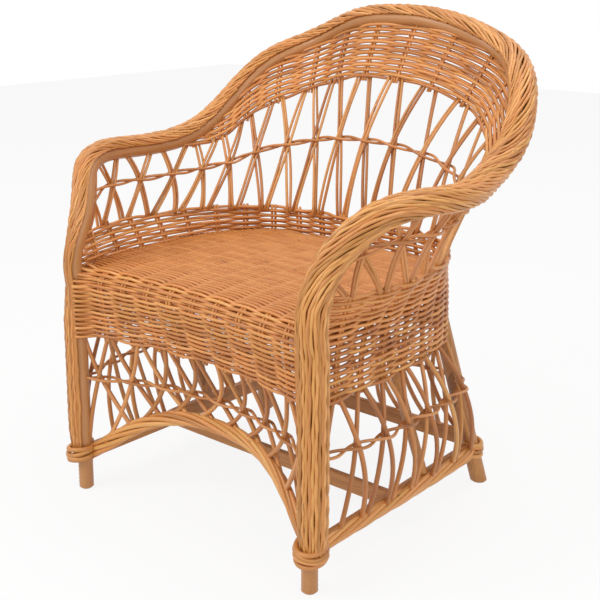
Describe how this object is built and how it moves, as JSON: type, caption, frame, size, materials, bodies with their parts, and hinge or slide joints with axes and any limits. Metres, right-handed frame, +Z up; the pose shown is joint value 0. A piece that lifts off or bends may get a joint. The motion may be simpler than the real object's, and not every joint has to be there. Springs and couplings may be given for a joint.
{
  "type": "woven willow tub armchair",
  "caption": "Low willow armchair woven on a bent hoop: flared arms, open crossing lattice, woven back band and seat, arched skirt and short round feet.",
  "frame": {"origin": "on the floor under the middle of the chair's overall plan", "axes": "+Z up, the sitter faces -Y, +X to the chair's right-hand side seen from behind the back, X = 0 is the plane of symmetry"},
  "size_m": [0.7678, 0.6463, 0.8415],
  "materials": {
    "peeled_pole": "satin varnish on a peeled round pole",
    "sawn_strip": "sawn softwood strip, thin varnish",
    "willow_weave": "close weave of honey-coloured willow, satin varnish",
    "willow_rod": "honey-coloured willow rod, satin varnish",
    "nail": "flat steel nail head"
  },
  "bodies": {
    "root": {"bent_hoop": "peeled_pole", "rear_leg_left": "peeled_pole", "rear_leg_right": "peeled_pole", "seat_side_rail_left": "peeled_pole", "seat_side_rail_right": "peeled_pole", "seat_back_rail": "peeled_pole", "seat_front_rail": "peeled_pole", "seat_cross_bars": "peeled_pole", "base_side_rail_left": "sawn_strip", "base_side_rail_right": "sawn_strip", "base_rear_rail": "sawn_strip", "base_cross_rail": "sawn_strip", "side_brace_left": "peeled_pole", "side_brace_right": "peeled_pole", "rail_nails": "nail", "seat_weave": "willow_weave", "waist_band": "willow_weave", "back_band": "willow_weave", "front_apron": "willow_weave", "border_left_arm": "willow_rod", "border_back": "willow_rod", "border_right_arm": "willow_rod", "back_stakes_leaning_left": "willow_rod", "back_stakes_leaning_right": "willow_rod", "skirt_rods_leaning_left": "willow_rod", "skirt_rods_leaning_right": "willow_rod", "front_rods_leaning_left": "willow_rod", "front_rods_leaning_right": "willow_rod", "back_twine": "willow_rod", "skirt_twine": "willow_rod", "front_twine": "willow_rod", "base_border": "willow_rod", "arched_border": "willow_rod", "leg_wrap_front_left": "willow_rod", "leg_wrap_front_right": "willow_rod", "leg_wrap_rear_left": "willow_rod", "leg_wrap_rear_right": "willow_rod"}
  },
  "joints": []
}
